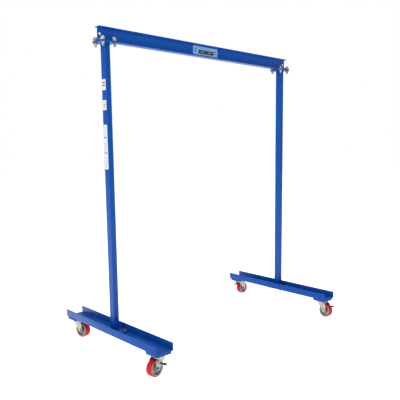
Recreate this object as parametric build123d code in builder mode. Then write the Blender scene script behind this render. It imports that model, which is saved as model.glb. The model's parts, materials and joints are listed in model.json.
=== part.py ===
from build123d import *

import math
import os

# Portable gantry crane: an I-beam clamped on two uprights, each upright bolted into a base channel
# that stands on two braked swivel casters.
# Millimetres. The origin is on the floor midway between the four kingpins, +X runs along the beam,
# +Y runs along the bases towards the rear, and +Z is up.

# Overall sizes
UNDER_BEAM = 2422.5
UPRIGHT_SPACING = 1974.0
BEAM_OVERHANG = 63.0
BASE_LENGTH = 1324.0

# Beam: a rolled I section with tapered flanges and a trolley-stop hole near each end
BEAM_DEPTH = 101.6
BEAM_WIDTH = 67.6
BEAM_WEB = 4.9
FLANGE_TIP = 4.8
FLANGE_SLOPE = 1 / 6
ROOT_RADIUS = 4.0
TOE_RADIUS = 2.5
STOP_HOLE = 17.5
STOP_HOLE_INSET = 20.0

# Upright: rectangular tube with a plate welded on each end
TUBE_X = 44.5
TUBE_Y = 63.5
TUBE_WALL = 4.8
TUBE_CORNER = 4.0
TOP_PLATE_X = 127.0
TOP_PLATE_MARGIN = 4.0
TOP_PLATE_THICK = 12.7
FOOT_PLATE_GAP = 5.85
FOOT_PLATE_Y = 200.0
FOOT_PLATE_THICK = 9.5
PLATE_CORNER = 6.0

# Beam clips and the bolts that hold them down
CLIP_LENGTH = 34.0
CLIP_GRIP = 10.0
CLIP_GAP = 1.0
CLIP_HEIGHT = 16.0
CLIP_NOSE = 5.0
CLAMP_BOLT = 15.9
CLAMP_HOLE = 17.5
CLAMP_HEX = 23.8
CLAMP_HEAD = 10.0
CLAMP_NUT = 13.9
CLAMP_WASHER = 34.0
CLAMP_TAIL = 13.0
CLAMP_EDGE = 15.0
CLAMP_OFFSET = 20.2
WASHER_THICK = 3.0

# Base channel and the caster pads under its two ends
CHANNEL_WIDTH = 152.4
CHANNEL_HEIGHT = 60.0
CHANNEL_WALL = 6.35
CHANNEL_OUTER_RADIUS = 2.0
CHANNEL_INNER_RADIUS = 3.0
PAD_INSET = 1.2
PAD_Y = 150.0
PAD_THICK = 19.05
PAD_CHAMFER = 20.0

# Foot bolts
FOOT_BOLT = 12.7
FOOT_HOLE = 14.0
FOOT_HEX = 19.0
FOOT_HEAD = 8.0
FOOT_NUT = 11.0
FOOT_WASHER = 27.0
FOOT_TAIL = 6.0
FOOT_BOLT_EDGE_X = 16.0
FOOT_BOLT_EDGE_Y = 24.0

# Caster bolts, screwed up into the tapped pads
CASTER_BOLT = 9.5
CASTER_HOLE = 10.5
CASTER_HEX = 14.3
CASTER_HEAD = 6.0
CASTER_BOLT_SPARE = 3.05
CASTER_BOLT_EDGE_X = 11.0
CASTER_BOLT_EDGE_Y = 17.5

# Caster: fixed top plate with kingpin, swivelling fork, wheel on an axle
WHEEL_TO_CROWN = 12.05
CASTER_PLATE_X = 114.0
CASTER_PLATE_Y = 102.0
CASTER_PLATE_THICK = 6.35
SKIRT_OUTER = 90.0
SKIRT_WALL = 2.5
SKIRT_CLEARANCE = 1.0
BALL = 6.35
BALL_CLEARANCE = 0.65
BALL_CIRCLE = 60.0
BALL_COUNT = 18
CAGE_WIDTH = 4.0
CAGE_THICK = 2.2
KINGPIN = 16.0
KINGPIN_HEAD = 28.0
KINGPIN_HEAD_THICK = 11.0
RUNNING_FIT = 0.05
FREE_GAP = 0.5
TRAIL = 44.0
CROWN_THICK = 6.35
CROWN_DIAMETER = 86.0
CROWN_HALF = 34.0
LEG_THICK = 6.0
LEG_END_RADIUS = 18.0
LEG_WAIST_RADIUS = 24.0
WHEEL_DIAMETER = 127.0
WHEEL_WIDTH = 50.8
TREAD_THICK = 6.4
TREAD_SHOULDER = 4.0
CORE_RIM_INSET = 0.9
CORE_RIM_THICK = 9.0
CORE_WEB = 13.0
CORE_HUB = 42.0
CORE_HUB_PROUD = 2.6
CORE_FILLET = 3.0
BEARING_DIAMETER = 22.0
LEG_GAP = 10.0
AXLE = 12.7
AXLE_HEX = 19.0
AXLE_HEAD = 8.0
AXLE_NUT = 11.0
AXLE_TAIL = 3.0

# Brake: a cam lever on a pin through one fork leg, with a pad between the leg and the wheel
BRAKE_PIVOT_RISE = 45.0
BRAKE_PIVOT_BACK = 3.0
BRAKE_DISC = 40.0
LEVER_THICK = 5.0
ARM_WIDTH = 11.0
ARM_REACH = 34.0
ARM_DROP = 16.0
ARM_SAG = 9.0
TAB_WIDTH = 22.0
TAB_LENGTH = 40.0
BRAKE_PIN = 10.0
BRAKE_PIN_HEAD = 19.0
BRAKE_PIN_HEAD_THICK = 4.0
BRAKE_PAD = 26.0
BRAKE_PAD_THICK = 2.4

# Plates and labels; each label is given as its middle's drop below the top plate and its length
CAPACITY_X = 280.0
CAPACITY_MARGIN = 14.8
CAPACITY_THICK = 1.0
LABEL_MARGIN = 5.75
LABEL_THICK = 0.4
LABELS = ((302.8, 81.0), (453.8, 74.0), (767.8, 337.0))

# Levels, from the floor up
wheel_radius = WHEEL_DIAMETER / 2
crown_bottom = WHEEL_DIAMETER + WHEEL_TO_CROWN
crown_top = crown_bottom + CROWN_THICK
race_top = crown_top + BALL + BALL_CLEARANCE
pad_bottom = race_top + CASTER_PLATE_THICK
channel_bottom = pad_bottom + PAD_THICK
channel_floor = channel_bottom + CHANNEL_WALL
foot_top = channel_floor + FOOT_PLATE_THICK
plate_bottom = UNDER_BEAM - TOP_PLATE_THICK
beam_middle = UNDER_BEAM + BEAM_DEPTH / 2

# Places and sizes that follow from their neighbours
upright_x = UPRIGHT_SPACING / 2
beam_length = UPRIGHT_SPACING + 2 * BEAM_OVERHANG
caster_y = BASE_LENGTH / 2 - PAD_Y / 2
clamp_x = TOP_PLATE_X / 2 - CLAMP_EDGE
clamp_y = BEAM_WIDTH / 2 + CLAMP_OFFSET
top_plate_y = 2 * (clamp_y + CLIP_LENGTH / 2 + TOP_PLATE_MARGIN)
foot_plate_x = CHANNEL_WIDTH - 2 * (CHANNEL_WALL + FOOT_PLATE_GAP)
foot_bolt_x = foot_plate_x / 2 - FOOT_BOLT_EDGE_X
foot_bolt_y = FOOT_PLATE_Y / 2 - FOOT_BOLT_EDGE_Y
pad_x = CHANNEL_WIDTH - 2 * PAD_INSET
caster_bolt_x = CASTER_PLATE_X / 2 - CASTER_BOLT_EDGE_X
caster_bolt_y = CASTER_PLATE_Y / 2 - CASTER_BOLT_EDGE_Y
label_width = TUBE_Y - 2 * LABEL_MARGIN
leg_inner = (WHEEL_WIDTH + LEG_GAP) / 2
leg_outer = leg_inner + LEG_THICK
core_diameter = WHEEL_DIAMETER - 2 * TREAD_THICK
rim_width = WHEEL_WIDTH - 2 * CORE_RIM_INSET
hub_width = WHEEL_WIDTH + 2 * CORE_HUB_PROUD
pivot_x = TRAIL - BRAKE_PIVOT_BACK
pivot_z = wheel_radius + BRAKE_PIVOT_RISE

SIDES = {"left": -upright_x, "right": upright_x}

# Corner name: kingpin x, kingpin y, direction the wheel trails in, side of the fork the brake arm
# points to (-1 ahead of the wheel, 1 behind it)
CORNERS = {
    "left_front": (-upright_x, -caster_y, 190.0, -1),
    "left_rear": (-upright_x, caster_y, 284.0, 1),
    "right_front": (upright_x, -caster_y, 268.0, 1),
    "right_rear": (upright_x, caster_y, 4.0, -1),
}


def grid(x_centres, y_centres, half_x, half_y):
    """The four bolt places round each centre."""
    return [
        (x + i * half_x, y + j * half_y)
        for x in x_centres
        for y in y_centres
        for i in (-1, 1)
        for j in (-1, 1)
    ]


clamp_places = grid(SIDES.values(), (0,), clamp_x, clamp_y)
foot_places = grid(SIDES.values(), (0,), foot_bolt_x, foot_bolt_y)
caster_places = grid(SIDES.values(), (-caster_y, caster_y), caster_bolt_x, caster_bolt_y)


def save(piece, label):
    piece.label = label
    export_step(piece, f"parts/{label}.step")


def bolts(places, under_head, tip, shank, across, head):
    """Hexagon bolts from under the head to the tip; a negative head height turns them head down."""
    with BuildPart() as group:
        with BuildSketch(Plane.XY.offset(under_head)):
            with Locations(*places):
                RegularPolygon(across / 2, 6, major_radius=False)
        extrude(amount=head)
        with BuildSketch(Plane.XY.offset(tip)):
            with Locations(*places):
                Circle(shank / 2)
        extrude(amount=under_head - tip)
    return group.part


def nuts(places, bottom, shank, across, height):
    with BuildPart() as group:
        with BuildSketch(Plane.XY.offset(bottom)):
            with Locations(*places):
                RegularPolygon(across / 2, 6, major_radius=False)
                Circle(shank / 2, mode=Mode.SUBTRACT)
        extrude(amount=height)
    return group.part


def washers(places, bottoms, hole, diameter):
    with BuildPart() as group:
        for bottom in bottoms:
            with BuildSketch(Plane.XY.offset(bottom)):
                with Locations(*places):
                    Circle(diameter / 2)
                    Circle(hole / 2, mode=Mode.SUBTRACT)
            extrude(amount=WASHER_THICK)
    return group.part


def i_beam():
    root_y = BEAM_DEPTH / 2 - FLANGE_TIP - FLANGE_SLOPE * (BEAM_WIDTH - BEAM_WEB) / 2
    with BuildPart() as beam:
        with BuildSketch(Plane.YZ) as section:
            with BuildLine():
                Polyline(
                    (0, 0),
                    (0, BEAM_DEPTH / 2),
                    (BEAM_WIDTH / 2, BEAM_DEPTH / 2),
                    (BEAM_WIDTH / 2, BEAM_DEPTH / 2 - FLANGE_TIP),
                    (BEAM_WEB / 2, root_y),
                    (BEAM_WEB / 2, 0),
                    close=True,
                )
            make_face()
            mirror(about=Plane.YZ)
            mirror(about=Plane.XZ)
            corners = section.vertices()
            roots = corners.filter_by(lambda v: abs(abs(v.X) - BEAM_WEB / 2) < 0.01 and abs(v.Y) > 1)
            fillet(roots, ROOT_RADIUS)
            toes = section.vertices().filter_by(
                lambda v: abs(v.X) > BEAM_WIDTH / 2 - 0.01 and abs(v.Y) < BEAM_DEPTH / 2 - 0.01
            )
            fillet(toes, TOE_RADIUS)
        extrude(amount=beam_length / 2, both=True)
        with BuildSketch(Plane.XZ):
            with GridLocations(beam_length - 2 * STOP_HOLE_INSET, 0, 2, 1):
                Circle(STOP_HOLE / 2)
        extrude(amount=BEAM_WEB, both=True, mode=Mode.SUBTRACT)
    return beam.part.moved(Location((0, 0, beam_middle)))


def upright(x):
    with BuildPart() as tube:
        with BuildSketch(Plane.XY.offset(foot_top)):
            with Locations((x, 0)):
                RectangleRounded(TUBE_X, TUBE_Y, TUBE_CORNER)
                RectangleRounded(
                    TUBE_X - 2 * TUBE_WALL,
                    TUBE_Y - 2 * TUBE_WALL,
                    TUBE_CORNER / 2,
                    mode=Mode.SUBTRACT,
                )
        extrude(amount=plate_bottom - foot_top)
    return tube.part


def bolted_plate(x, bottom, size_x, size_y, thick, places, hole):
    with BuildPart() as plate:
        with BuildSketch(Plane.XY.offset(bottom)):
            with Locations((x, 0)):
                RectangleRounded(size_x, size_y, PLATE_CORNER)
            with Locations(*[p for p in places if abs(p[0] - x) < size_x]):
                Circle(hole / 2, mode=Mode.SUBTRACT)
        extrude(amount=thick)
    return plate.part


def base_channel(x):
    with BuildPart() as channel:
        with BuildSketch(Plane.XZ):
            with Locations((x, channel_bottom)):
                Rectangle(CHANNEL_WIDTH, CHANNEL_HEIGHT, align=(Align.CENTER, Align.MIN))
            with Locations((x, channel_floor)):
                Rectangle(
                    CHANNEL_WIDTH - 2 * CHANNEL_WALL,
                    CHANNEL_HEIGHT,
                    align=(Align.CENTER, Align.MIN),
                    mode=Mode.SUBTRACT,
                )
        extrude(amount=BASE_LENGTH / 2, both=True)
        along = channel.edges().filter_by(Axis.Y)
        fillet(along.filter_by(lambda e: abs(e.center().Z - channel_bottom) < 0.01), CHANNEL_OUTER_RADIUS)
        along = channel.edges().filter_by(Axis.Y)
        inner = along.filter_by(
            lambda e: abs(e.center().Z - channel_floor) < 0.01
            and abs(abs(e.center().X - x) - CHANNEL_WIDTH / 2 + CHANNEL_WALL) < 0.01
        )
        fillet(inner, CHANNEL_INNER_RADIUS)
        with BuildSketch(Plane.XY.offset(channel_bottom)):
            with Locations(*[p for p in foot_places if abs(p[0] - x) < CHANNEL_WIDTH]):
                Circle(FOOT_HOLE / 2)
        extrude(amount=CHANNEL_WALL, mode=Mode.SUBTRACT)
    return channel.part


def caster_pads(x):
    """Thick pads with their corners cut off and tapped holes for the caster bolts."""
    with BuildPart() as pads:
        with BuildSketch(Plane.XY.offset(pad_bottom)) as outline:
            with Locations((x, -caster_y), (x, caster_y)):
                Rectangle(pad_x, PAD_Y)
            chamfer(outline.vertices(), PAD_CHAMFER)
            with Locations(*[p for p in caster_places if abs(p[0] - x) < pad_x]):
                Circle(CASTER_BOLT / 2, mode=Mode.SUBTRACT)
        extrude(amount=PAD_THICK)
    return pads.part


def beam_clips():
    """Clips whose toes bear on the lower flange and whose round heels bear on the top plate."""
    toe = BEAM_WIDTH / 2 - CLIP_GRIP
    step = BEAM_WIDTH / 2 + CLIP_GAP
    heel = clamp_y + CLIP_LENGTH / 2
    toe_z = UNDER_BEAM + FLANGE_TIP + FLANGE_SLOPE * CLIP_GRIP
    step_z = UNDER_BEAM + FLANGE_TIP - FLANGE_SLOPE * CLIP_GAP
    clip_top = UNDER_BEAM + CLIP_HEIGHT
    with BuildPart() as clips:
        for x in sorted({place[0] for place in clamp_places}):
            with BuildSketch(Plane.YZ.offset(x)):
                with BuildLine():
                    Polyline(
                        (toe, toe_z),
                        (step, step_z),
                        (step, UNDER_BEAM),
                        (heel, UNDER_BEAM),
                        (heel, clip_top),
                        (toe + CLIP_NOSE, clip_top),
                        (toe, clip_top - CLIP_NOSE),
                        close=True,
                    )
                make_face()
            extrude(amount=CLIP_LENGTH / 2, both=True)
        mirror(about=Plane.XZ)
        with BuildSketch(Plane.XY.offset(UNDER_BEAM)):
            for x, y in clamp_places:
                inner = math.copysign(toe, y)
                with Locations((x, y)):
                    Circle(CLIP_LENGTH / 2)
                with Locations((x, (inner + y) / 2)):
                    Rectangle(CLIP_LENGTH, abs(y - inner))
        extrude(amount=CLIP_HEIGHT, mode=Mode.INTERSECT)
        with BuildSketch(Plane.XY.offset(UNDER_BEAM)):
            with Locations(*clamp_places):
                Circle(CLAMP_HOLE / 2)
        extrude(amount=CLIP_HEIGHT, mode=Mode.SUBTRACT)
    return clips.part


def capacity_plate():
    with BuildPart() as plate:
        with BuildSketch(Plane.XZ.offset(BEAM_WEB / 2)):
            with Locations((0, beam_middle)):
                RectangleRounded(CAPACITY_X, BEAM_DEPTH - 2 * CAPACITY_MARGIN, PLATE_CORNER / 2)
        extrude(amount=CAPACITY_THICK)
    return plate.part


def upright_labels():
    with BuildPart() as labels:
        face = Plane(origin=(-upright_x - TUBE_X / 2, 0, 0), x_dir=(0, -1, 0), z_dir=(-1, 0, 0))
        with BuildSketch(face):
            for drop, length in LABELS:
                with Locations((0, plate_bottom - drop)):
                    RectangleRounded(label_width, length, PLATE_CORNER / 2)
        extrude(amount=LABEL_THICK)
    return labels.part


def caster_top_plates():
    """Top plates with a skirt round the swivel bearing."""
    centres = [(x, y) for x, y, _, _ in CORNERS.values()]
    with BuildPart() as plates:
        with BuildSketch(Plane.XY.offset(race_top)):
            with Locations(*centres):
                RectangleRounded(CASTER_PLATE_X, CASTER_PLATE_Y, PLATE_CORNER)
            with Locations(*caster_places):
                Circle(CASTER_HOLE / 2, mode=Mode.SUBTRACT)
        extrude(amount=CASTER_PLATE_THICK)
        with BuildSketch(Plane.XY.offset(crown_top + SKIRT_CLEARANCE)):
            with Locations(*centres):
                Circle(SKIRT_OUTER / 2)
                Circle(SKIRT_OUTER / 2 - SKIRT_WALL, mode=Mode.SUBTRACT)
        extrude(amount=race_top - crown_top - SKIRT_CLEARANCE)
    return plates.part


def kingpins():
    """Pins that hang from the top plates, with a collar under the fork's crown."""
    centres = [(x, y) for x, y, _, _ in CORNERS.values()]
    collar_top = crown_bottom - FREE_GAP
    with BuildPart() as pins:
        with BuildSketch(Plane.XY.offset(collar_top)):
            with Locations(*centres):
                Circle(KINGPIN / 2)
        extrude(amount=race_top - collar_top)
        with BuildSketch(Plane.XY.offset(collar_top - KINGPIN_HEAD_THICK)):
            with Locations(*centres):
                RegularPolygon(KINGPIN_HEAD / 2, 6, major_radius=True)
        extrude(amount=KINGPIN_HEAD_THICK)
    return pins.part


def swivel_bearings():
    """Ball rings under the top plates, each with its cage."""
    ball_z = race_top - BALL / 2
    with BuildPart() as rings:
        for x, y, _, _ in CORNERS.values():
            with BuildSketch(Plane.XY.offset(ball_z - CAGE_THICK / 2)):
                with Locations((x, y)):
                    Circle((BALL_CIRCLE + CAGE_WIDTH) / 2)
                    Circle((BALL_CIRCLE - CAGE_WIDTH) / 2, mode=Mode.SUBTRACT)
            extrude(amount=CAGE_THICK)
            with Locations((x, y, ball_z)):
                with PolarLocations(BALL_CIRCLE / 2, BALL_COUNT):
                    Sphere(BALL / 2)
    return rings.part


# The caster pieces below are drawn with the kingpin on the Z axis and the wheel trailing along +X.


def fork():
    with BuildPart() as frame:
        with BuildSketch(Plane.XZ.offset(-leg_outer)):
            with Locations((TRAIL, wheel_radius)):
                Circle(LEG_END_RADIUS)
            with Locations((pivot_x, pivot_z)):
                Circle(LEG_WAIST_RADIUS)
            with Locations((0, crown_top)):
                Rectangle(2 * CROWN_HALF, CROWN_THICK, align=(Align.CENTER, Align.MAX))
            make_hull()
        extrude(amount=2 * leg_outer)
        with BuildSketch(Plane.XY):
            Rectangle(4 * WHEEL_DIAMETER, 2 * leg_inner)
        extrude(amount=crown_bottom, mode=Mode.SUBTRACT)
        with BuildSketch(Plane.XY.offset(crown_bottom)):
            Circle(CROWN_DIAMETER / 2)
        extrude(amount=CROWN_THICK)
        with BuildSketch(Plane.XY.offset(crown_bottom)):
            Circle(KINGPIN / 2 + RUNNING_FIT)
        extrude(amount=CROWN_THICK, mode=Mode.SUBTRACT)
        with BuildSketch(Plane.XZ):
            with Locations((TRAIL, wheel_radius)):
                Circle(AXLE / 2)
        extrude(amount=2 * leg_outer, both=True, mode=Mode.SUBTRACT)
        with BuildSketch(Plane.XZ.offset(-leg_outer)):
            with Locations((pivot_x, pivot_z)):
                Circle(BRAKE_PIN / 2 + RUNNING_FIT)
        extrude(amount=LEG_THICK, mode=Mode.SUBTRACT)
    return frame.part


def axle():
    """Axle bolt with its head on the leg that has no brake."""
    end = leg_outer + AXLE_NUT + AXLE_TAIL
    with BuildPart() as bolt:
        with BuildSketch(Plane.XZ.offset(leg_outer)):
            with Locations((TRAIL, wheel_radius)):
                RegularPolygon(AXLE_HEX / 2, 6, major_radius=False)
        extrude(amount=AXLE_HEAD)
        with BuildSketch(Plane.XZ.offset(-end)):
            with Locations((TRAIL, wheel_radius)):
                Circle(AXLE / 2)
        extrude(amount=end + leg_outer)
    return bolt.part


def axle_nut():
    with BuildPart() as nut:
        with BuildSketch(Plane.XZ.offset(-leg_outer - AXLE_NUT)):
            with Locations((TRAIL, wheel_radius)):
                RegularPolygon(AXLE_HEX / 2, 6, major_radius=False)
                Circle(AXLE / 2, mode=Mode.SUBTRACT)
        extrude(amount=AXLE_NUT)
    return nut.part


def ring(inner, outer, width, shoulder=0):
    """A ring round the wheel's axle."""
    with BuildPart() as body:
        with BuildSketch(Plane.XZ.offset(-width / 2)):
            with Locations((TRAIL, wheel_radius)):
                Circle(outer / 2)
                Circle(inner / 2, mode=Mode.SUBTRACT)
        extrude(amount=width)
        if shoulder:
            rims = body.edges().filter_by(GeomType.CIRCLE)
            fillet(rims.filter_by(lambda e: abs(e.radius - outer / 2) < 0.01), shoulder)
    return body.part


def wheel_core():
    """Cast core: hub, web and rim turned about the axle."""
    half_hub = CORE_HUB / 2
    rim_inner = core_diameter / 2 - CORE_RIM_THICK
    with BuildPart() as core:
        with BuildSketch(Plane(origin=(TRAIL, 0, wheel_radius))) as profile:
            with BuildLine():
                Polyline(
                    (BEARING_DIAMETER / 2, 0),
                    (BEARING_DIAMETER / 2, hub_width / 2),
                    (half_hub, hub_width / 2),
                    (half_hub, CORE_WEB / 2),
                    (rim_inner, CORE_WEB / 2),
                    (rim_inner, rim_width / 2),
                    (core_diameter / 2, rim_width / 2),
                    (core_diameter / 2, 0),
                    close=True,
                )
            make_face()
            mirror(about=Plane.XZ)
            inner_corners = profile.vertices().filter_by(lambda v: abs(abs(v.Y) - CORE_WEB / 2) < 0.01)
            fillet(inner_corners, CORE_FILLET)
        revolve(axis=Axis((TRAIL, 0, wheel_radius), (0, 1, 0)))
    return core.part


def brake_lever(side):
    """Cam disc, arm and foot tab; side is the way the arm points along X."""
    inner = leg_outer + FREE_GAP
    arm_end = (pivot_x + side * ARM_REACH, pivot_z - ARM_DROP)
    with BuildPart() as lever:
        with BuildSketch(Plane.XZ.offset(-inner - LEVER_THICK)):
            with Locations((pivot_x, pivot_z)):
                Circle(BRAKE_DISC / 2)
            with BuildLine(mode=Mode.PRIVATE) as route:
                ThreePointArc(
                    (pivot_x, pivot_z - ARM_DROP),
                    (pivot_x + side * ARM_REACH / 2, pivot_z - ARM_DROP - ARM_SAG),
                    arm_end,
                )
            SlotArc(route.edge(), ARM_WIDTH)
            with Locations((pivot_x, pivot_z)):
                Circle(BRAKE_PIN / 2, mode=Mode.SUBTRACT)
        extrude(amount=LEVER_THICK)
        with BuildSketch(Plane.XZ.offset(-inner - TAB_LENGTH)):
            with Locations(arm_end):
                SlotOverall(TAB_WIDTH, LEVER_THICK)
        extrude(amount=TAB_LENGTH)
    return lever.part


def brake_pin():
    """Pin with its head outside the lever and the friction pad inside the leg."""
    pad_face = leg_inner - FREE_GAP
    head_face = leg_outer + FREE_GAP + LEVER_THICK
    with BuildPart() as pin:
        with BuildSketch(Plane.XZ.offset(-head_face - BRAKE_PIN_HEAD_THICK)):
            with Locations((pivot_x, pivot_z)):
                Circle(BRAKE_PIN_HEAD / 2)
        extrude(amount=BRAKE_PIN_HEAD_THICK)
        with BuildSketch(Plane.XZ.offset(-head_face)):
            with Locations((pivot_x, pivot_z)):
                Circle(BRAKE_PIN / 2)
        extrude(amount=head_face - pad_face)
        with BuildSketch(Plane.XZ.offset(-pad_face)):
            with Locations((pivot_x, pivot_z)):
                Circle(BRAKE_PAD / 2)
        extrude(amount=BRAKE_PAD_THICK)
    return pin.part


os.makedirs("parts", exist_ok=True)

save(i_beam(), "i_beam")
save(capacity_plate(), "capacity_plate")
save(upright_labels(), "upright_labels")
for side_name, x in SIDES.items():
    save(upright(x), f"{side_name}_upright")
    save(
        bolted_plate(x, plate_bottom, TOP_PLATE_X, top_plate_y, TOP_PLATE_THICK, clamp_places, CLAMP_HOLE),
        f"{side_name}_top_plate",
    )
    save(
        bolted_plate(x, channel_floor, foot_plate_x, FOOT_PLATE_Y, FOOT_PLATE_THICK, foot_places, FOOT_HOLE),
        f"{side_name}_foot_plate",
    )
    save(base_channel(x), f"{side_name}_base_channel")
    save(caster_pads(x), f"{side_name}_caster_pads")

clip_top = UNDER_BEAM + CLIP_HEIGHT
clamp_nut_top = plate_bottom - WASHER_THICK
save(beam_clips(), "beam_clips")
save(washers(clamp_places, (clip_top, clamp_nut_top), CLAMP_HOLE, CLAMP_WASHER), "clamp_washers")
save(nuts(clamp_places, clamp_nut_top - CLAMP_NUT, CLAMP_BOLT, CLAMP_HEX, CLAMP_NUT), "clamp_nuts")
clamp_tip = clamp_nut_top - CLAMP_NUT - CLAMP_TAIL
save(
    bolts(clamp_places, clip_top + WASHER_THICK, clamp_tip, CLAMP_BOLT, CLAMP_HEX, CLAMP_HEAD),
    "clamp_bolts",
)

foot_nut_bottom = channel_bottom - FOOT_NUT
save(washers(foot_places, (foot_top,), FOOT_HOLE, FOOT_WASHER), "foot_washers")
save(nuts(foot_places, foot_nut_bottom, FOOT_BOLT, FOOT_HEX, FOOT_NUT), "foot_nuts")
save(
    bolts(foot_places, foot_top + WASHER_THICK, foot_nut_bottom - FOOT_TAIL, FOOT_BOLT, FOOT_HEX, FOOT_HEAD),
    "foot_bolts",
)

save(
    bolts(caster_places, race_top, channel_bottom - CASTER_BOLT_SPARE, CASTER_BOLT, CASTER_HEX, -CASTER_HEAD),
    "caster_bolts",
)

save(caster_top_plates(), "caster_top_plates")
save(kingpins(), "kingpins")
save(swivel_bearings(), "swivel_bearings")

bearing_width = WHEEL_WIDTH + LEG_GAP - 2 * FREE_GAP
caster_pieces = {
    "fork": fork(),
    "axle": axle(),
    "axle_nut": axle_nut(),
    "wheel_core": wheel_core(),
    "wheel_tread": ring(core_diameter, WHEEL_DIAMETER, WHEEL_WIDTH, TREAD_SHOULDER),
    "wheel_bearing": ring(AXLE + 2 * RUNNING_FIT, BEARING_DIAMETER, bearing_width),
    "brake_pin": brake_pin(),
}
levers = {side: brake_lever(side) for side in (-1, 1)}
for corner, (x, y, trail_angle, arm_side) in CORNERS.items():
    place = Location((x, y, 0), (0, 0, trail_angle))
    for name, piece in caster_pieces.items():
        save(piece.moved(place), f"{corner}_{name}")
    save(levers[arm_side].moved(place), f"{corner}_brake_lever")
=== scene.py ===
import json
import math

import bmesh
import bpy
import numpy as np
from mathutils import Matrix, Vector


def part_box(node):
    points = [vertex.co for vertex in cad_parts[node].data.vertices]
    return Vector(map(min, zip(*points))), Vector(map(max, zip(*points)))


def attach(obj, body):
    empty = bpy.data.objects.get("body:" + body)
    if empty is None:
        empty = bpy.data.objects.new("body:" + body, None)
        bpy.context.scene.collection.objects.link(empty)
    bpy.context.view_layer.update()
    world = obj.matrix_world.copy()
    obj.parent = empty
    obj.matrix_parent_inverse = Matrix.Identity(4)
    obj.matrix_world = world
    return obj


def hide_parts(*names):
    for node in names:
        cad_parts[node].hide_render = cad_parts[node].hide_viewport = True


# A blue powder-coated gantry crane on four braked swivel casters.
# Metres, in the frame of the CAD model.

MM = 0.001
CORNERS = ("left_front", "left_rear", "right_front", "right_rear")
SIDES = ("left", "right")
STILL = Matrix.Identity(4)
UP = Vector((0, 0, 1))

# Rounding of the cut and rolled edges
PLATE_EDGE = 0.8 * MM
BEAM_EDGE = 0.6 * MM
TUBE_EDGE = 0.5 * MM
FORK_EDGE = 1.2 * MM
LEVER_EDGE = 0.9 * MM
CLIP_EDGE = 1.0 * MM
PIN_EDGE = 0.7 * MM
BOX_EDGE = 0.15 * MM
INK_EDGE = 0.05 * MM
SHARP = math.radians(32)

# How close CAD vertices lie when they are one, and how flat two faces are when they are one
SAME_POINT = 0.005 * MM
SAME_PLANE = math.radians(0.5)
ZERO = 1e-9

# Bolts: head height, shank diameter and threaded length
CLAMP_HEAD = 10.0 * MM
CLAMP_SHANK = 15.9 * MM
CLAMP_THREAD = 44.0 * MM
FOOT_HEAD = 8.0 * MM
FOOT_SHANK = 12.7 * MM
FOOT_THREAD = 26.0 * MM
CASTER_HEAD = 6.0 * MM
CASTER_SHANK = 9.5 * MM
CASTER_THREAD = 14.0 * MM
AXLE_HEAD = 8.0 * MM
AXLE_SHANK = 12.7 * MM
AXLE_THREAD = 18.0 * MM

# Nuts and washers: the diameter of each hole, and the axle nut's width across flats
CLAMP_NUT_HOLE = 15.4 * MM
CLAMP_WASHER_HOLE = 17.5 * MM
FOOT_NUT_HOLE = 12.2 * MM
FOOT_WASHER_HOLE = 14.0 * MM
AXLE_NUT_HOLE = 12.2 * MM
AXLE_ACROSS = 19.0 * MM
AXLE_NUT_TWIST = math.radians(17)

# Threads: pitch, depth and tip as shares of it, and the ridge's radius as a share of the depth
COARSE_PITCH = 2.0 * MM
FINE_PITCH = 1.5 * MM
THREAD_DEPTH = 0.3
RIDGE = 1.3
TIP = 0.8
THREAD_STEPS = 20

# Points round a turned shape, and along each side of a hexagon
ROUND_STEPS = 96
SHANK_STEPS = 32
WASHER_STEPS = 48
HEX_STEPS = 8

# Weld beads: how far apart the ripples are and their radius
TUBE_CORNER = 4.0 * MM
TUBE_WELD_RISE = 0.8 * MM
TUBE_WELD_STEP = 2.0 * MM
TUBE_WELD_RADIUS = 3.2 * MM
PAD_WELD_INSET = 22.0 * MM
PAD_WELD_STEP = 2.4 * MM
PAD_WELD_RADIUS = 2.6 * MM

# Wheels, and the grips on the brake levers
TREAD_CROWN = 0.15 * MM
RIM_STEP = 1.8 * MM
GRIP_WALL = 2.2 * MM
GRIP_START = 11.0 * MM
GRIP_EDGE = 2.0 * MM

# Print: how far ink stands out from what it is printed on
PLATE_INK = 0.15 * MM
BAND_INK = 0.3 * MM
LABEL_INK = 0.1 * MM

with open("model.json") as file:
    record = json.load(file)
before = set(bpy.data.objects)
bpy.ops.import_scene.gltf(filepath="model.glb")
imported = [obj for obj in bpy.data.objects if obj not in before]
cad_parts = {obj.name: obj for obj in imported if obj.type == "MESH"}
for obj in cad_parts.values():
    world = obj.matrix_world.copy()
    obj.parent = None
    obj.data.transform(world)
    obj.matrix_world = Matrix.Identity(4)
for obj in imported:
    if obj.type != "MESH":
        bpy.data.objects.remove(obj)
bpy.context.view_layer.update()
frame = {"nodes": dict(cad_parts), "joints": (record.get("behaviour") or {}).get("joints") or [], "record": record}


# ---------------------------------------------------------------- materials


def new_material(name):
    material = bpy.data.materials.new(name)
    material.use_nodes = True
    nodes = material.node_tree.nodes
    nodes.clear()
    shader = nodes.new("ShaderNodeBsdfPrincipled")
    output = nodes.new("ShaderNodeOutputMaterial")
    material.node_tree.links.new(shader.outputs["BSDF"], output.inputs["Surface"])
    return material, shader


def noise(material, scale, detail=2.0):
    """Noise on the piece's own coordinates, scale in features per metre."""
    tree = material.node_tree
    place = tree.nodes.new("ShaderNodeTexCoord")
    pattern = tree.nodes.new("ShaderNodeTexNoise")
    pattern.inputs["Scale"].default_value = scale
    pattern.inputs["Detail"].default_value = detail
    tree.links.new(place.outputs["Object"], pattern.inputs["Vector"])
    return pattern.outputs["Fac"]


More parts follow.
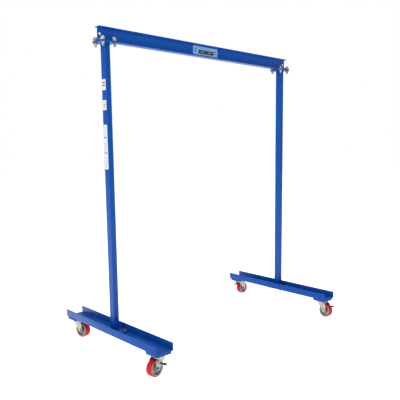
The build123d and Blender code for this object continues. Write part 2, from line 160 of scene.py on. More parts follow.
def vary_color(material, shader, fac, first, second):
    tree = material.node_tree
    ramp = tree.nodes.new("ShaderNodeValToRGB")
    ramp.color_ramp.elements[0].color = (*first, 1)
    ramp.color_ramp.elements[1].color = (*second, 1)
    ramp.color_ramp.elements[0].position = 0.3
    ramp.color_ramp.elements[1].position = 0.7
    tree.links.new(fac, ramp.inputs["Fac"])
    tree.links.new(ramp.outputs["Color"], shader.inputs["Base Color"])


def vary_roughness(material, shader, fac, low, high):
    tree = material.node_tree
    spread = tree.nodes.new("ShaderNodeMapRange")
    spread.inputs["To Min"].default_value = low
    spread.inputs["To Max"].default_value = high
    tree.links.new(fac, spread.inputs["Value"])
    tree.links.new(spread.outputs["Result"], shader.inputs["Roughness"])


def add_bump(material, shader, fac, strength, height):
    tree = material.node_tree
    bump = tree.nodes.new("ShaderNodeBump")
    bump.inputs["Strength"].default_value = strength
    bump.inputs["Distance"].default_value = height
    tree.links.new(fac, bump.inputs["Height"])
    tree.links.new(bump.outputs["Normal"], shader.inputs["Normal"])


def finish_material(
    name, first, second, rough, metallic=0.0, grain=600.0, bump=0.1, patches=6.0
):
    """A two-tone surface with its own gloss variation and fine relief.

    grain and patches are features per metre, rough the lowest and highest roughness.
    """
    relief = 0.3 * MM
    material, shader = new_material(name)
    shader.inputs["Metallic"].default_value = metallic
    vary_color(material, shader, noise(material, patches, 3.0), first, second)
    vary_roughness(material, shader, noise(material, patches * 7, 4.0), *rough)
    add_bump(material, shader, noise(material, grain), bump, relief)
    return material, shader


def powder_coat():
    """Blue powder coat with a faint orange peel."""
    material, shader = finish_material(
        "blue_powder_coat",
        first=(0.0, 0.06, 0.31),
        second=(0.001, 0.069, 0.35),
        rough=(0.3, 0.42),
        grain=420.0,
        bump=0.05,
    )
    shader.inputs["Specular IOR Level"].default_value = 0.16
    shader.inputs["Coat Weight"].default_value = 0.05
    shader.inputs["Coat Roughness"].default_value = 0.12
    return material


def zinc():
    return finish_material(
        "bright_zinc",
        first=(0.3, 0.29, 0.25),
        second=(0.48, 0.47, 0.43),
        rough=(0.28, 0.42),
        metallic=1.0,
        grain=900.0,
        bump=0.12,
        patches=40.0,
    )[0]


def cast_grey():
    return finish_material(
        "grey_casting",
        first=(0.2, 0.21, 0.2),
        second=(0.33, 0.34, 0.33),
        rough=(0.35, 0.5),
        metallic=0.5,
        grain=700.0,
        bump=0.5,
        patches=30.0,
    )[0]


def red_urethane():
    material, shader = finish_material(
        "red_urethane",
        first=(0.5, 0.0, 0.004),
        second=(0.6, 0.001, 0.008),
        rough=(0.36, 0.48),
        grain=500.0,
        bump=0.08,
        patches=25.0,
    )
    shader.inputs["Specular IOR Level"].default_value = 0.2
    shader.inputs["Subsurface Weight"].default_value = 0.05
    shader.inputs["Subsurface Radius"].default_value = (0.004, 0.001, 0.001)
    return material


def ground_steel():
    return finish_material(
        "ground_steel",
        first=(0.5, 0.5, 0.5),
        second=(0.6, 0.6, 0.61),
        rough=(0.15, 0.28),
        metallic=1.0,
        grain=1200.0,
        bump=0.06,
        patches=60.0,
    )[0]


def dark_grip():
    return finish_material(
        "dark_grip",
        first=(0.03, 0.032, 0.035),
        second=(0.055, 0.057, 0.06),
        rough=(0.45, 0.6),
        grain=1500.0,
        bump=0.35,
        patches=60.0,
    )[0]


def print_ink(name, color):
    """Flat ink or film, a shade paler in patches."""
    paler = tuple(min(1.0, 0.97 * c + 0.012) for c in color)
    return finish_material(
        name, color, paler, rough=(0.32, 0.4), grain=1500.0, bump=0.04, patches=50.0
    )[0]


BLUE = powder_coat()
ZINC = zinc()
CAST = cast_grey()
RED = red_urethane()
STEEL = ground_steel()
GRIP = dark_grip()
PALE_BLUE = print_ink("plate_pale_blue", (0.17, 0.38, 0.72))
BLACK = print_ink("ink_black", (0.012, 0.014, 0.012))
YELLOW = print_ink("ink_yellow", (0.5, 0.46, 0.12))
BEIGE = print_ink("ink_beige", (0.26, 0.24, 0.1))
GREEN = print_ink("ink_green", (0.01, 0.17, 0.1))
WHITE = print_ink("label_white", (0.66, 0.69, 0.7))
GREY = print_ink("label_grey", (0.42, 0.44, 0.46))
LABEL_RED = print_ink("ink_red", (0.32, 0.03, 0.04))


# ---------------------------------------------------------------- shapes


def vertices_of(node):
    """Every vertex of a CAD node, as rows of an array."""
    return np.array([v.co for v in frame["nodes"][node].data.vertices], float).reshape(-1, 3)


def solids_of(node):
    """Lowest and highest corner of each separate solid in a CAD node."""
    form = bmesh.new()
    form.from_mesh(frame["nodes"][node].data)
    bmesh.ops.remove_doubles(form, verts=form.verts, dist=SAME_POINT)
    left = set(form.verts)
    boxes = []
    while left:
        reached = [left.pop()]
        for vert in reached:
            for edge in vert.link_edges:
                other = edge.other_vert(vert)
                if other in left:
                    left.discard(other)
                    reached.append(other)
        points = np.array([v.co for v in reached])
        boxes.append((Vector(points.min(0)), Vector(points.max(0))))
    form.free()
    return sorted(boxes, key=lambda box: tuple(round(v, 4) for v in box[0]))


def finish_mesh(mesh, material):
    mesh.materials.clear()
    mesh.materials.append(material)
    mesh.polygons.foreach_set("use_smooth", [True] * len(mesh.polygons))
    mesh.set_sharp_from_angle(angle=SHARP)
    mesh.update()


def add_piece(name, mesh, material, body, stands_for=()):
    finish_mesh(mesh, material)
    piece = bpy.data.objects.new(name, mesh)
    link_object(piece)
    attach(piece, body)
    if stands_for:
        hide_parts(*stands_for)
    return piece


def body_of(node):
    bodies = frame["record"]["behaviour"]["bodies"]
    return next(body for body, members in bodies.items() if node in members)


def link_object(obj):
    bpy.context.scene.collection.objects.link(obj)


def evaluated_mesh(obj):
    """The object's finished mesh, after which the object itself is removed."""
    graph = bpy.context.evaluated_depsgraph_get()
    mesh = bpy.data.meshes.new_from_object(obj.evaluated_get(graph))
    bpy.data.objects.remove(obj)
    return mesh


def rounded(node, radius, material):
    """A copy of a CAD node with its sharp edges rounded, which stands for it."""
    form = bmesh.new()
    form.from_mesh(frame["nodes"][node].data)
    bmesh.ops.remove_doubles(form, verts=form.verts, dist=SAME_POINT)
    bmesh.ops.dissolve_limit(
        form, angle_limit=SAME_PLANE, verts=form.verts, edges=form.edges
    )
    draft = bpy.data.objects.new(node + "_draft", mesh_from(form, node + "_finish"))
    link_object(draft)
    bevel = draft.modifiers.new("Edges", "BEVEL")
    bevel.width = radius
    bevel.segments = 2
    bevel.limit_method = "ANGLE"
    bevel.angle_limit = SHARP
    bevel.use_clamp_overlap = True
    mesh = evaluated_mesh(draft)
    return add_piece(node + "_finish", mesh, material, body_of(node), (node,))


def bridge(form, low, high):
    """Faces between two rings, where a ring of one vertex is a tip."""
    for i in range(max(len(low), len(high))):
        ring = [
            low[i % len(low)],
            low[(i + 1) % len(low)],
            high[(i + 1) % len(high)],
            high[i % len(high)],
        ]
        form.faces.new(list(dict.fromkeys(ring)))


def closed_mesh(form, name):
    bmesh.ops.recalc_face_normals(form, faces=form.faces)
    return mesh_from(form, name)


def mesh_from(form, name):
    mesh = bpy.data.meshes.new(name)
    form.to_mesh(mesh)
    form.free()
    return mesh


def lathe(profile, steps=ROUND_STEPS):
    """A closed ring or disc turned about Z from (radius, height) points that run anticlockwise."""
    form = bmesh.new()
    rows = []
    angles = [2 * math.pi * i / steps for i in range(steps)]
    turns = [(math.cos(a), math.sin(a)) for a in angles]
    for radius, height in profile:
        if radius < ZERO:
            rows.append([form.verts.new((0, 0, height))])
        else:
            rows.append([form.verts.new((radius * c, radius * s, height)) for c, s in turns])
    for low, high in zip(rows, rows[1:] + rows[:1]):
        if len(low) > 1 or len(high) > 1:
            bridge(form, low, high)
    return closed_mesh(form, "lathe")


def arc(centre, radius, start, end, steps=4):
    """Points on an arc, from start to end in degrees."""
    turns = [math.radians(start + (end - start) * i / steps) for i in range(steps + 1)]
    return [(centre[0] + radius * math.cos(t), centre[1] + radius * math.sin(t)) for t in turns]


def hexagon(across, bottom, top, hole=0.0, both=False):
    """A hexagon with its corners turned off at the top, or at both ends.

    hole is the radius of a round hole through it.
    """
    flat = across / 2
    land = 0.96 * flat
    slope = math.tan(math.radians(30))
    angles = [2 * math.pi * i / (6 * HEX_STEPS) for i in range(6 * HEX_STEPS)]
    reach = [flat / math.cos((a % (math.pi / 3)) - math.pi / 6) for a in angles]
    drop = [max(0.0, r - land) * slope for r in reach]
    rows = [
        [(hole, bottom)] * len(angles),
        *([[(land, bottom)] * len(angles)] if both else []),
        [(r, bottom + d if both else bottom) for r, d in zip(reach, drop)],
        [(r, top - d) for r, d in zip(reach, drop)],
        [(land, top)] * len(angles),
        [(hole, top)] * len(angles),
    ]
    form = bmesh.new()
    rings = []
    for row in rows:
        if row[0][0] < ZERO:
            rings.append([form.verts.new((0, 0, row[0][1]))])
            continue
        points = [(r * math.cos(a), r * math.sin(a), z) for a, (r, z) in zip(angles, row)]
        rings.append([form.verts.new(point) for point in points])
    if hole:
        rings.append(rings[0])
    for low, high in zip(rings, rings[1:]):
        bridge(form, low, high)
    return closed_mesh(form, "hexagon")


def joined(meshes):
    """One mesh from several, each given as (mesh, matrix)."""
    form = bmesh.new()
    for mesh, matrix in meshes:
        part = mesh.copy()
        part.transform(matrix)
        form.from_mesh(part)
    return mesh_from(form, "joined")


def panel(low, high, edge=BOX_EDGE):
    """A thin box with rounded edges between two corners."""
    form = bmesh.new()
    bmesh.ops.create_cube(form, size=1)
    middle = (Vector(low) + Vector(high)) / 2
    size = Vector(high) - Vector(low)
    bmesh.ops.scale(form, vec=size, verts=form.verts)
    bmesh.ops.translate(form, vec=middle, verts=form.verts)
    reach = min(edge, min(size) * 0.4)
    bmesh.ops.bevel(
        form, geom=form.edges, offset=reach, segments=2, affect="EDGES", profile=0.5
    )
    return mesh_from(form, "panel")


# ---------------------------------------------------------------- Geometry Nodes


def new_tree(name, inputs, takes_geometry=True):
    """A node tree with named inputs that ends in Realize Instances and Set Material."""
    tree = bpy.data.node_groups.new(name, "GeometryNodeTree")
    sockets = {}
    if takes_geometry:
        tree.interface.new_socket("Geometry", in_out="INPUT", socket_type="NodeSocketGeometry")
    for label, kind in (*inputs, ("Finish", "NodeSocketMaterial")):
        socket = tree.interface.new_socket(label, in_out="INPUT", socket_type=kind)
        sockets[label] = socket.identifier
    tree.interface.new_socket("Geometry", in_out="OUTPUT", socket_type="NodeSocketGeometry")
    start = tree.nodes.new("NodeGroupInput")
    end = tree.nodes.new("NodeGroupOutput")
    realize = tree.nodes.new("GeometryNodeRealizeInstances")
    coat = tree.nodes.new("GeometryNodeSetMaterial")
    tree.links.new(realize.outputs["Geometry"], coat.inputs["Geometry"])
    tree.links.new(start.outputs["Finish"], coat.inputs["Material"])
    tree.links.new(coat.outputs["Geometry"], end.inputs["Geometry"])
    return tree, start, realize, sockets


def grow(base_mesh, tree, sockets, values):
    """Runs a tree on a mesh and returns the plain mesh it makes."""
    draft = bpy.data.objects.new("draft", base_mesh)
    link_object(draft)
    modifier = draft.modifiers.new("Nodes", "NODES")
    modifier.node_group = tree
    for label, value in values.items():
        modifier[sockets[label]] = value
    return evaluated_mesh(draft)


def thread_tree():
    """A helical ridge that climbs from the origin along Z."""
    inputs = (
        ("Turns", "NodeSocketFloat"),
        ("Pitch", "NodeSocketFloat"),
        ("Radius", "NodeSocketFloat"),
        ("Ridge", "NodeSocketFloat"),
    )
    tree, start, realize, sockets = new_tree("screw_thread", inputs, takes_geometry=True)
    climb = tree.nodes.new("ShaderNodeMath")
    climb.operation = "MULTIPLY"
    spiral = tree.nodes.new("GeometryNodeCurveSpiral")
    spiral.inputs["Resolution"].default_value = THREAD_STEPS
    ridge = tree.nodes.new("GeometryNodeCurvePrimitiveCircle")
    ridge.inputs["Resolution"].default_value = 4
    sweep = tree.nodes.new("GeometryNodeCurveToMesh")
    sweep.inputs["Fill Caps"].default_value = True
    link = tree.links.new
    link(start.outputs["Turns"], climb.inputs[0])
    link(start.outputs["Pitch"], climb.inputs[1])
    link(start.outputs["Turns"], spiral.inputs["Rotations"])
    link(start.outputs["Radius"], spiral.inputs["Start Radius"])
    link(start.outputs["Radius"], spiral.inputs["End Radius"])
    link(climb.outputs[0], spiral.inputs["Height"])
    link(start.outputs["Ridge"], ridge.inputs["Radius"])
    link(spiral.outputs["Curve"], sweep.inputs["Curve"])
    link(ridge.outputs["Curve"], sweep.inputs["Profile Curve"])
    link(sweep.outputs["Mesh"], realize.inputs["Geometry"])
    return tree, sockets


def fastener_tree():
    """One copy of a fastener on every point, each turned by its own seeded angle."""
    inputs = (
        ("Fastener", "NodeSocketObject"),
        ("Spin", "NodeSocketFloat"),
        ("Seed", "NodeSocketInt"),
    )
    tree, start, realize, sockets = new_tree("fasteners", inputs)
    points = tree.nodes.new("GeometryNodeMeshToPoints")
    chosen = tree.nodes.new("GeometryNodeObjectInfo")
    turn = tree.nodes.new("FunctionNodeRandomValue")
    turn.data_type = "FLOAT"
    angles = tree.nodes.new("ShaderNodeCombineXYZ")
    copies = tree.nodes.new("GeometryNodeInstanceOnPoints")
    link = tree.links.new
    link(start.outputs["Geometry"], points.inputs["Mesh"])
    link(start.outputs["Fastener"], chosen.inputs["Object"])
    link(start.outputs["Spin"], next(s for s in turn.inputs if s.name == "Max" and s.enabled))
    link(start.outputs["Seed"], turn.inputs["Seed"])
    link(next(s for s in turn.outputs if s.enabled), angles.inputs["Z"])
    link(points.outputs["Points"], copies.inputs["Points"])
    link(chosen.outputs["Geometry"], copies.inputs["Instance"])
    link(angles.outputs["Vector"], copies.inputs["Rotation"])
    link(copies.outputs["Instances"], realize.inputs["Geometry"])
    return tree, sockets


def weld_tree():
    """Overlapping ripples along the edges of the mesh it is given."""
    inputs = (("Spacing", "NodeSocketFloat"), ("Ripple", "NodeSocketFloat"))
    tree, start, realize, sockets = new_tree("weld_bead", inputs)
    path = tree.nodes.new("GeometryNodeMeshToCurve")
    evenly = tree.nodes.new("GeometryNodeResampleCurve")
    evenly.mode = "LENGTH"
    ripple = tree.nodes.new("GeometryNodeMeshUVSphere")
    ripple.inputs["Segments"].default_value = 10
    ripple.inputs["Rings"].default_value = 7
    copies = tree.nodes.new("GeometryNodeInstanceOnPoints")
    link = tree.links.new
    link(start.outputs["Geometry"], path.inputs["Mesh"])
    link(path.outputs["Curve"], evenly.inputs["Curve"])
    link(start.outputs["Spacing"], evenly.inputs["Length"])
    link(start.outputs["Ripple"], ripple.inputs["Radius"])
    link(evenly.outputs["Curve"], copies.inputs["Points"])
    link(ripple.outputs["Mesh"], copies.inputs["Instance"])
    link(copies.outputs["Instances"], realize.inputs["Geometry"])
    return tree, sockets


THREAD, THREAD_SOCKETS = thread_tree()
FASTENERS, FASTENER_SOCKETS = fastener_tree()
WELD, WELD_SOCKETS = weld_tree()


def points_mesh(places):
    mesh = bpy.data.meshes.new("places")
    mesh.from_pydata([tuple(p) for p in places], [], [])
    return mesh


def hex_bolt(across, head, shank, length, threaded, pitch):
    """A bolt with its head above Z = 0 and its shank below, threaded towards the tip."""
    depth = THREAD_DEPTH * pitch
    core = shank / 2 - depth
    plain = length - threaded
    tip = TIP * pitch
    body = lathe(
        [
            (0, -length),
            (core - tip, -length),
            (core, -length + tip),
            (core, -plain),
            (shank / 2, -plain + depth),
            (shank / 2, 0),
            (0, 0),
        ],
        SHANK_STEPS,
    )
    values = {
        "Turns": (threaded - tip) / pitch,
        "Pitch": pitch,
        "Radius": core,
        "Ridge": RIDGE * depth,
        "Finish": ZINC,
    }
    ridge = grow(points_mesh([(0, 0, 0)]), THREAD, THREAD_SOCKETS, values)
    cap = hexagon(across, 0.0, head)
    lowest = Matrix.Translation((0, 0, -length + tip))
    return joined([(body, STILL), (ridge, lowest), (cap, STILL)])


def fasteners(node, sample, places, seed):
    """Copies of the sample mesh at the places, as one piece that stands for the node."""
    template = bpy.data.objects.new("template", sample)
    link_object(template)
    values = {"Fastener": template, "Spin": math.tau, "Seed": seed, "Finish": ZINC}
    mesh = grow(points_mesh(places), FASTENERS, FASTENER_SOCKETS, values)
    bpy.data.objects.remove(template)
    return add_piece(node + "_finish", mesh, ZINC, body_of(node), (node,))


def middle_at(box, height):
    """The middle of a box in X and Y, at the height."""
    low, high = box
    return Vector(((low.x + high.x) / 2, (low.y + high.y) / 2, height))


def bolt_set(node, head, shank, threaded, pitch, seed, head_down=False):
    """Bolts for every solid of a node, each with its head at the top or at the bottom."""
    boxes = solids_of(node)
    low, high = boxes[0]
    across = high.y - low.y
    length = high.z - low.z - head
    sample = hex_bolt(across, head, shank, length, threaded, pitch)
    if head_down:
        sample.transform(Matrix.Rotation(math.pi, 4, "X"))
        places = [middle_at(b, b[0].z + head) for b in boxes]
    else:
        places = [middle_at(b, b[1].z - head) for b in boxes]
    return fasteners(node, sample, places, seed)


def nut_set(node, hole, seed):
    """Hexagonal nuts with holes of the diameter, for every solid of a node."""
    boxes = solids_of(node)
    low, high = boxes[0]
    sample = hexagon(high.y - low.y, 0.0, high.z - low.z, hole / 2, both=True)
    return fasteners(node, sample, [middle_at(b, b[0].z) for b in boxes], seed)


def washer_set(node, hole, seed):
    """Flat washers with holes of the diameter, for every solid of a node."""
    boxes = solids_of(node)
    low, high = boxes[0]
    outer = (high.x - low.x) / 2
    thick = high.z - low.z
    edge = 0.15 * thick
    sample = lathe(
        [
            (hole / 2, 0),
            (outer - edge, 0),
            (outer, edge),
            (outer, thick - edge),
            (outer - edge, thick),
            (hole / 2, thick),
        ],
        WASHER_STEPS,
    )
    return fasteners(node, sample, [middle_at(b, b[0].z) for b in boxes], seed)


# ---------------------------------------------------------------- steelwork


def steelwork():
    """Beam, uprights, plates, channels and pads, all coated blue."""
    rounded("i_beam", BEAM_EDGE, BLUE)
    for side in SIDES:
        rounded(f"{side}_upright", TUBE_EDGE, BLUE)
        rounded(f"{side}_top_plate", PLATE_EDGE, BLUE)
        rounded(f"{side}_foot_plate", PLATE_EDGE, BLUE)
        rounded(f"{side}_base_channel", PLATE_EDGE, BLUE)
        rounded(f"{side}_caster_pads", PLATE_EDGE, BLUE)


def loop_mesh(points, closed=True):
    """Edges from point to point, and back to the first if closed."""
    mesh = bpy.data.meshes.new("path")
    count = len(points)
    edges = [(i, (i + 1) % count) for i in range(count if closed else count - 1)]
    mesh.from_pydata([tuple(p) for p in points], edges, [])
    return mesh


def tube_outline(low, high, corner, height):
    """A rounded rectangle along the faces of a tube."""
    points = []
    for sx, sy, start in ((1, 1, 0), (-1, 1, 90), (-1, -1, 180), (1, -1, 270)):
        centre = (
            high.x - corner if sx > 0 else low.x + corner,
            high.y - corner if sy > 0 else low.y + corner,
        )
        points += [(x, y, height) for x, y in arc(centre, corner, start, start + 90)]
    return points


def weld(path, step, radius):
    values = {"Spacing": step, "Ripple": radius, "Finish": BLUE}
    return grow(path, WELD, WELD_SOCKETS, values)


def welds():
    """Fillet welds where each tube meets its plates, and along the edges of the caster pads."""
    for side in SIDES:
        low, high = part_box(f"{side}_upright")
        beads = []
        for height in (high.z - TUBE_WELD_RISE, low.z + TUBE_WELD_RISE):
            path = loop_mesh(tube_outline(low, high, TUBE_CORNER, height))
            beads.append(weld(path, TUBE_WELD_STEP, TUBE_WELD_RADIUS))
        for pad_low, pad_high in solids_of(f"{side}_caster_pads"):
            start = pad_low.y + PAD_WELD_INSET
            end = pad_high.y - PAD_WELD_INSET
            for x in (pad_low.x, pad_high.x):
                path = loop_mesh([(x, start, pad_high.z), (x, end, pad_high.z)], closed=False)
                beads.append(weld(path, PAD_WELD_STEP, PAD_WELD_RADIUS))
        mesh = joined([(bead, STILL) for bead in beads])
        add_piece(f"{side}_welds", mesh, BLUE, "root")


def fixings():
    """Clips, bolts, nuts and washers. Each set has its own seed."""
    rounded("beam_clips", CLIP_EDGE, ZINC)
    bolt_set("clamp_bolts", CLAMP_HEAD, CLAMP_SHANK, CLAMP_THREAD, COARSE_PITCH, seed=11)
    nut_set("clamp_nuts", CLAMP_NUT_HOLE, seed=12)
    washer_set("clamp_washers", CLAMP_WASHER_HOLE, seed=13)
    bolt_set("foot_bolts", FOOT_HEAD, FOOT_SHANK, FOOT_THREAD, FINE_PITCH, seed=21)
    nut_set("foot_nuts", FOOT_NUT_HOLE, seed=22)
    washer_set("foot_washers", FOOT_WASHER_HOLE, seed=23)
    sizes = (CASTER_HEAD, CASTER_SHANK, CASTER_THREAD, FINE_PITCH)
    bolt_set("caster_bolts", *sizes, seed=31, head_down=True)


# ---------------------------------------------------------------- casters


def joint_named(name):
    return next(j for j in frame["joints"] if j["name"] == name)


def axle_frame(joint):
    """A matrix whose Z runs along the joint's axis and whose Y is up, at the joint."""
    axis = Vector(joint["axis"]).normalized()
    turn = Matrix((UP.cross(axis), UP, axis)).transposed().to_4x4()
    return Matrix.Translation(Vector(joint["pos_m"])) @ turn


def span_along(node, joint):
    """How far a node reaches along the joint's axis, measured from the joint."""
    axis = np.array(joint["axis"], float)
    reach = (vertices_of(node) - np.array(joint["pos_m"], float)) @ axis
    return float(reach.min()), float(reach.max())


def placed(mesh, matrix):
    """The mesh itself, moved by the matrix."""
    mesh.transform(matrix)
    return mesh


def core_profile(width, hub_width, radius):
    """Half-section of the cast core: hub, dished web and rim with a lip."""
    bore = 11.0 * MM
    hub = 21.0 * MM
    hub_edge = 2.0 * MM
    rim_inner = radius - 9.0 * MM
    web = 6.5 * MM
    fillet = 4.0 * MM
    lip = 1.5 * MM
    half = [(bore, hub_width / 2)]
    half += arc((hub - hub_edge, hub_width / 2 - hub_edge), hub_edge, 90, 0)
    half += arc((hub + fillet, web + fillet), fillet, 180, 270)
    half += arc((rim_inner - fillet, web + fillet), fillet, 270, 360)
    half += arc((rim_inner + lip, width / 2 - lip), lip, 180, 90)
    half += arc((radius - lip, width / 2 - lip), lip, 90, 0)
    return half[::-1] + [(r, -z) for r, z in half]


def tread_profile(width, inner, outer):
    """Section of the tread: rounded shoulders and a slight crown."""
    foot = 2.5 * MM
    foot_edge = 1.0 * MM
    step = 1.5 * MM
    shoulder = 4.0 * MM
    fall = 0.3 * MM
    flat = 0.6 * MM
    half = [(inner, width / 2 - step)]
    half += arc((inner + foot, width / 2 - foot_edge), foot_edge, 150, 90)
    half += arc((outer - shoulder, width / 2 - shoulder), shoulder - fall, 90, 12, 6)
    half += [(outer - fall, width / 4), (outer, flat), (outer + TREAD_CROWN, 0.0)]
    return half[::-1] + [(r, -z) for r, z in half[:-1]]


def radius_of(node):
    """Half the height of a node that is round about a level axis."""
    low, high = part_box(node)
    return (high.z - low.z) / 2


def wheels():
    """Cast cores and treads, turned about the rolling axes."""
    for corner in CORNERS:
        core_node = f"{corner}_wheel_core"
        tread_node = f"{corner}_wheel_tread"
        body = f"{corner}_wheel"
        roll = joint_named(f"{corner}_roll")
        matrix = axle_frame(roll)
        low, high = span_along(core_node, roll)
        tread_low, tread_high = span_along(tread_node, roll)
        width = tread_high - tread_low
        core_radius = radius_of(core_node)
        section = core_profile(width - RIM_STEP, high - low, core_radius)
        core = placed(lathe(section), matrix)
        add_piece(core_node + "_finish", core, CAST, body, (core_node,))
        section = tread_profile(width, core_radius, radius_of(tread_node) - TREAD_CROWN)
        tread = placed(lathe(section), matrix)
        add_piece(f"{corner}_tread_finish", tread, RED, body, (tread_node,))


def axles():
    """Axle bolts and nuts, laid along the rolling axes."""
    flip = Matrix.Rotation(math.pi, 4, "X")
    twist = Matrix.Rotation(AXLE_NUT_TWIST, 4, "Z")
    for corner in CORNERS:
        axle = f"{corner}_axle"
        nut_node = f"{corner}_axle_nut"
        body = f"{corner}_fork"
        roll = joint_named(f"{corner}_roll")
        matrix = axle_frame(roll)
        low, high = span_along(axle, roll)
        length = high - low - AXLE_HEAD
        bolt = hex_bolt(AXLE_ACROSS, AXLE_HEAD, AXLE_SHANK, length, AXLE_THREAD, FINE_PITCH)
        seat = Matrix.Translation((0, 0, low + AXLE_HEAD))
        bolt = placed(bolt, matrix @ seat @ flip)
        add_piece(axle + "_finish", bolt, ZINC, body, (axle,))
        nut_low, nut_high = span_along(nut_node, roll)
        nut = hexagon(AXLE_ACROSS, nut_low, nut_high, AXLE_NUT_HOLE / 2, both=True)
        nut = placed(nut, matrix @ twist)
        add_piece(nut_node + "_finish", nut, ZINC, body, (nut_node,))


def brakes():
    """Rounded levers and dark grips over their foot tabs."""
    for corner in CORNERS:
        hinge = joint_named(f"{corner}_brake_release")
        matrix = axle_frame(hinge)
        lever = f"{corner}_brake_lever"
        local = np.array([matrix.inverted() @ Vector(p) for p in vertices_of(lever)])
        inner = float(local[:, 2].min())
        outer = float(local[:, 2].max())
        tab = local[local[:, 2] > outer - 1 * MM]
        left, bottom = tab[:, :2].min(0) - GRIP_WALL
        right, top = tab[:, :2].max(0) + GRIP_WALL
        low = (left, bottom, inner + GRIP_START)
        high = (right, top, outer + GRIP_WALL)
        grip = placed(panel(low, high, GRIP_EDGE), matrix)
        add_piece(f"{corner}_brake_grip", grip, GRIP, f"{corner}_brake")
        rounded(lever, LEVER_EDGE, ZINC)


def casters():
    """Top plates, forks, pins, wheels, axles and brakes of the four casters."""
    rounded("caster_top_plates", PLATE_EDGE, ZINC)
    for corner in CORNERS:
        rounded(f"{corner}_fork", FORK_EDGE, ZINC)
        rounded(f"{corner}_brake_pin", PIN_EDGE, ZINC)
    wheels()
    axles()
    brakes()


# ---------------------------------------------------------------- plates and labels


def printed(name, node, marks, thick, across, outward):
    """Ink areas on a printed face; marks are (left, bottom, right, top, ink) as shares of the face.

    across is the way the print reads from left to right, outward the way it faces.
    """
    low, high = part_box(node)
    across = Vector(across)
    outward = Vector(outward)
    width = abs((high - low).dot(across))
    height = high.z - low.z
    face = (low + high) / 2 + outward * abs((high - low).dot(outward)) / 2
    by_ink = {}
    for left, bottom, right, top, ink in marks:
        start = face + across * (left - 0.5) * width + UP * (bottom - 0.5) * height
        end = face + across * (right - 0.5) * width + UP * (top - 0.5) * height
        ends = np.array([start, end + outward * thick])
        patch = panel(ends.min(0), ends.max(0), INK_EDGE)
        by_ink.setdefault(ink, []).append((patch, STILL))
    for ink, meshes in by_ink.items():
        add_piece(f"{name}_{ink.name}", joined(meshes), ink, "root")


def bars(left, right, bottom, top, count, gap, ink):
    """A row of equal upright bars."""
    step = (right - left) / count
    starts = [left + i * step for i in range(count)]
    return [(start, bottom, start + step - gap, top, ink) for start in starts]


def plate_print():
    """A black band with rows of bars, a thin rule above it and colour squares at both ends."""
    band = [(0.215, 0.17, 0.825, 0.6, BLACK)]
    row = {"bottom": 0.29, "top": 0.48, "gap": 0.012, "ink": BEIGE}
    band_marks = bars(0.3, 0.46, count=5, **row) + bars(0.6, 0.74, count=4, **row)
    rule = [(0.3, 0.74, 0.72, 0.78, GREEN)]
    left = [
        (0.05, 0.8, 0.14, 0.95, YELLOW),
        (0.07, 0.62, 0.13, 0.8, BLACK),
        (0.07, 0.34, 0.13, 0.52, GREEN),
        (0.07, 0.18, 0.13, 0.3, YELLOW),
    ]
    right = [
        (0.86, 0.82, 0.91, 0.94, YELLOW),
        (0.86, 0.54, 0.92, 0.74, GREEN),
        (0.86, 0.28, 0.92, 0.42, BLACK),
        (0.85, 0.08, 0.94, 0.26, YELLOW),
    ]
    for name, marks, thick in (
        ("plate_print", band + rule + left + right, PLATE_INK),
        ("plate_marks", band_marks, BAND_INK),
    ):
        printed(name, "capacity_plate", marks, thick, across=(1, 0, 0), outward=(0, -1, 0))


def label_print():
    """Plain colour areas on the three labels, given as shares of the whole stack's height."""
    low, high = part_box("upright_labels")
    height = high.z - low.z
    boxes = sorted(solids_of("upright_labels"), key=lambda b: -b[0].z)
    shares = [((b[0].z - low.z) / height, (b[1].z - low.z) / height) for b in boxes]

    def inside(label, left, bottom, right, top, ink):
        start, end = shares[label]
        return (left, start + bottom * (end - start), right, start + top * (end - start), ink)

    marks = [
        inside(0, 0.1, 0.64, 0.85, 0.75, LABEL_RED),
        inside(0, 0.1, 0.38, 0.85, 0.5, LABEL_RED),
        inside(1, 0.24, 0.2, 0.78, 0.62, YELLOW),
        inside(1, 0.2, 0.74, 0.8, 0.8, GREY),
        inside(2, 0.1, 0.7, 0.7, 0.722, LABEL_RED),
        inside(2, 0.1, 0.355, 0.8, 0.377, LABEL_RED),
    ]
    thirds, rows, line = 3, 5, 0.018
    for third in range(thirds):
        for row in range(rows):
            bottom = (third + 0.15 + 0.15 * row) / thirds
            right = 0.85 - 0.1 * (row % 2)
            marks.append(inside(2, 0.15, bottom, right, bottom + line, GREY))
    printed(
        "label_print", "upright_labels", marks, LABEL_INK, across=(0, -1, 0), outward=(-1, 0, 0)
    )


# ---------------------------------------------------------------- CAD nodes kept as they are


def keep(node, material):
    obj = frame["nodes"][node]
    obj.data.materials.clear()
    obj.data.materials.append(material)


def kept_nodes():
    """Finishes for the printed sheets and for what is hidden inside the casters."""
    keep("capacity_plate", PALE_BLUE)
    keep("upright_labels", WHITE)
    keep("kingpins", ZINC)
    keep("swivel_bearings", STEEL)
    for corner in CORNERS:
        keep(f"{corner}_wheel_bearing", STEEL)


# ---------------------------------------------------------------- stage


def floor():
    """A pale floor that glows a little, so that it stays bright under the crane."""
    form = bmesh.new()
    bmesh.ops.create_grid(form, x_segments=1, y_segments=1, size=30)
    mesh = mesh_from(form, "floor")
    plane = bpy.data.objects.new("floor", mesh)
    link_object(plane)
    material, shader = new_material("pale_floor")
    shader.inputs["Base Color"].default_value = (0.8, 0.8, 0.8, 1)
    shader.inputs["Roughness"].default_value = 0.9
    shader.inputs["Emission Color"].default_value = (1, 1, 1, 1)
    shader.inputs["Emission Strength"].default_value = 0.8
    mesh.materials.append(material)


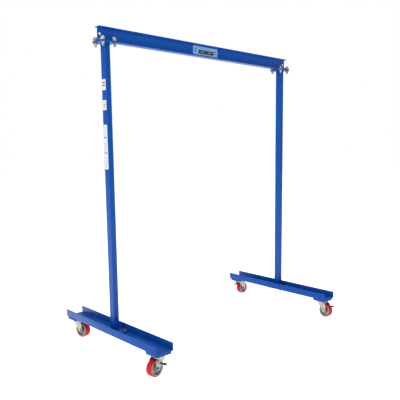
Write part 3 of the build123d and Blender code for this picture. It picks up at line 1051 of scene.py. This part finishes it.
def area_light(name, place, aim, size, power):
    """A rectangular light in watts, turned to face a point."""
    data = bpy.data.lights.new(name, "AREA")
    data.shape = "RECTANGLE"
    data.size, data.size_y = size
    data.energy = power
    light = bpy.data.objects.new(name, data)
    light.location = place
    gaze = Vector(aim) - Vector(place)
    light.rotation_euler = gaze.to_track_quat("-Z", "Y").to_euler()
    link_object(light)


def lights():
    """Three area lights. The camera sees a white world, which lights the crane more softly."""
    area_light("key", (-3.5, -5.0, 4.5), aim=(0, 0, 1.2), size=(3.0, 3.0), power=110)
    area_light("left_strip", (-6.0, 1.5, 2.5), aim=(0, 0, 1.3), size=(1.5, 4.0), power=90)
    area_light("top", (0.5, 0.5, 6.5), aim=(0, 0, 0), size=(5.0, 5.0), power=170)
    world = bpy.data.worlds.new("studio")
    bpy.context.scene.world = world
    world.use_nodes = True
    tree = world.node_tree
    tree.nodes.clear()
    seen = tree.nodes.new("ShaderNodeBackground")
    seen.inputs["Color"].default_value = (1, 1, 1, 1)
    seen.inputs["Strength"].default_value = 1.0
    soft = tree.nodes.new("ShaderNodeBackground")
    soft.inputs["Color"].default_value = (0.93, 0.95, 1.0, 1)
    soft.inputs["Strength"].default_value = 0.5
    path = tree.nodes.new("ShaderNodeLightPath")
    mix = tree.nodes.new("ShaderNodeMixShader")
    output = tree.nodes.new("ShaderNodeOutputWorld")
    tree.links.new(path.outputs["Is Camera Ray"], mix.inputs["Fac"])
    tree.links.new(soft.outputs[0], mix.inputs[1])
    tree.links.new(seen.outputs[0], mix.inputs[2])
    tree.links.new(mix.outputs[0], output.inputs["Surface"])


def camera():
    """The view down the crane from its front left, with the lens shifted."""
    data = bpy.data.cameras.new("camera")
    data.sensor_width = 36.0
    data.lens = 47.9
    data.shift_x = -0.1173
    data.shift_y = 0.0585
    data.clip_end = 200
    view = bpy.data.objects.new("camera", data)
    view.location = (-3.1688, -3.6474, 1.6166)
    heading = 0.78
    pitch = -0.136
    view.rotation_euler = (math.pi / 2 + pitch, 0, heading - math.pi / 2)
    link_object(view)
    bpy.context.scene.camera = view


camera()
lights()
floor()
steelwork()
welds()
fixings()
casters()
plate_print()
label_print()
kept_nodes()
bpy.context.scene.view_settings.view_transform = "Standard"
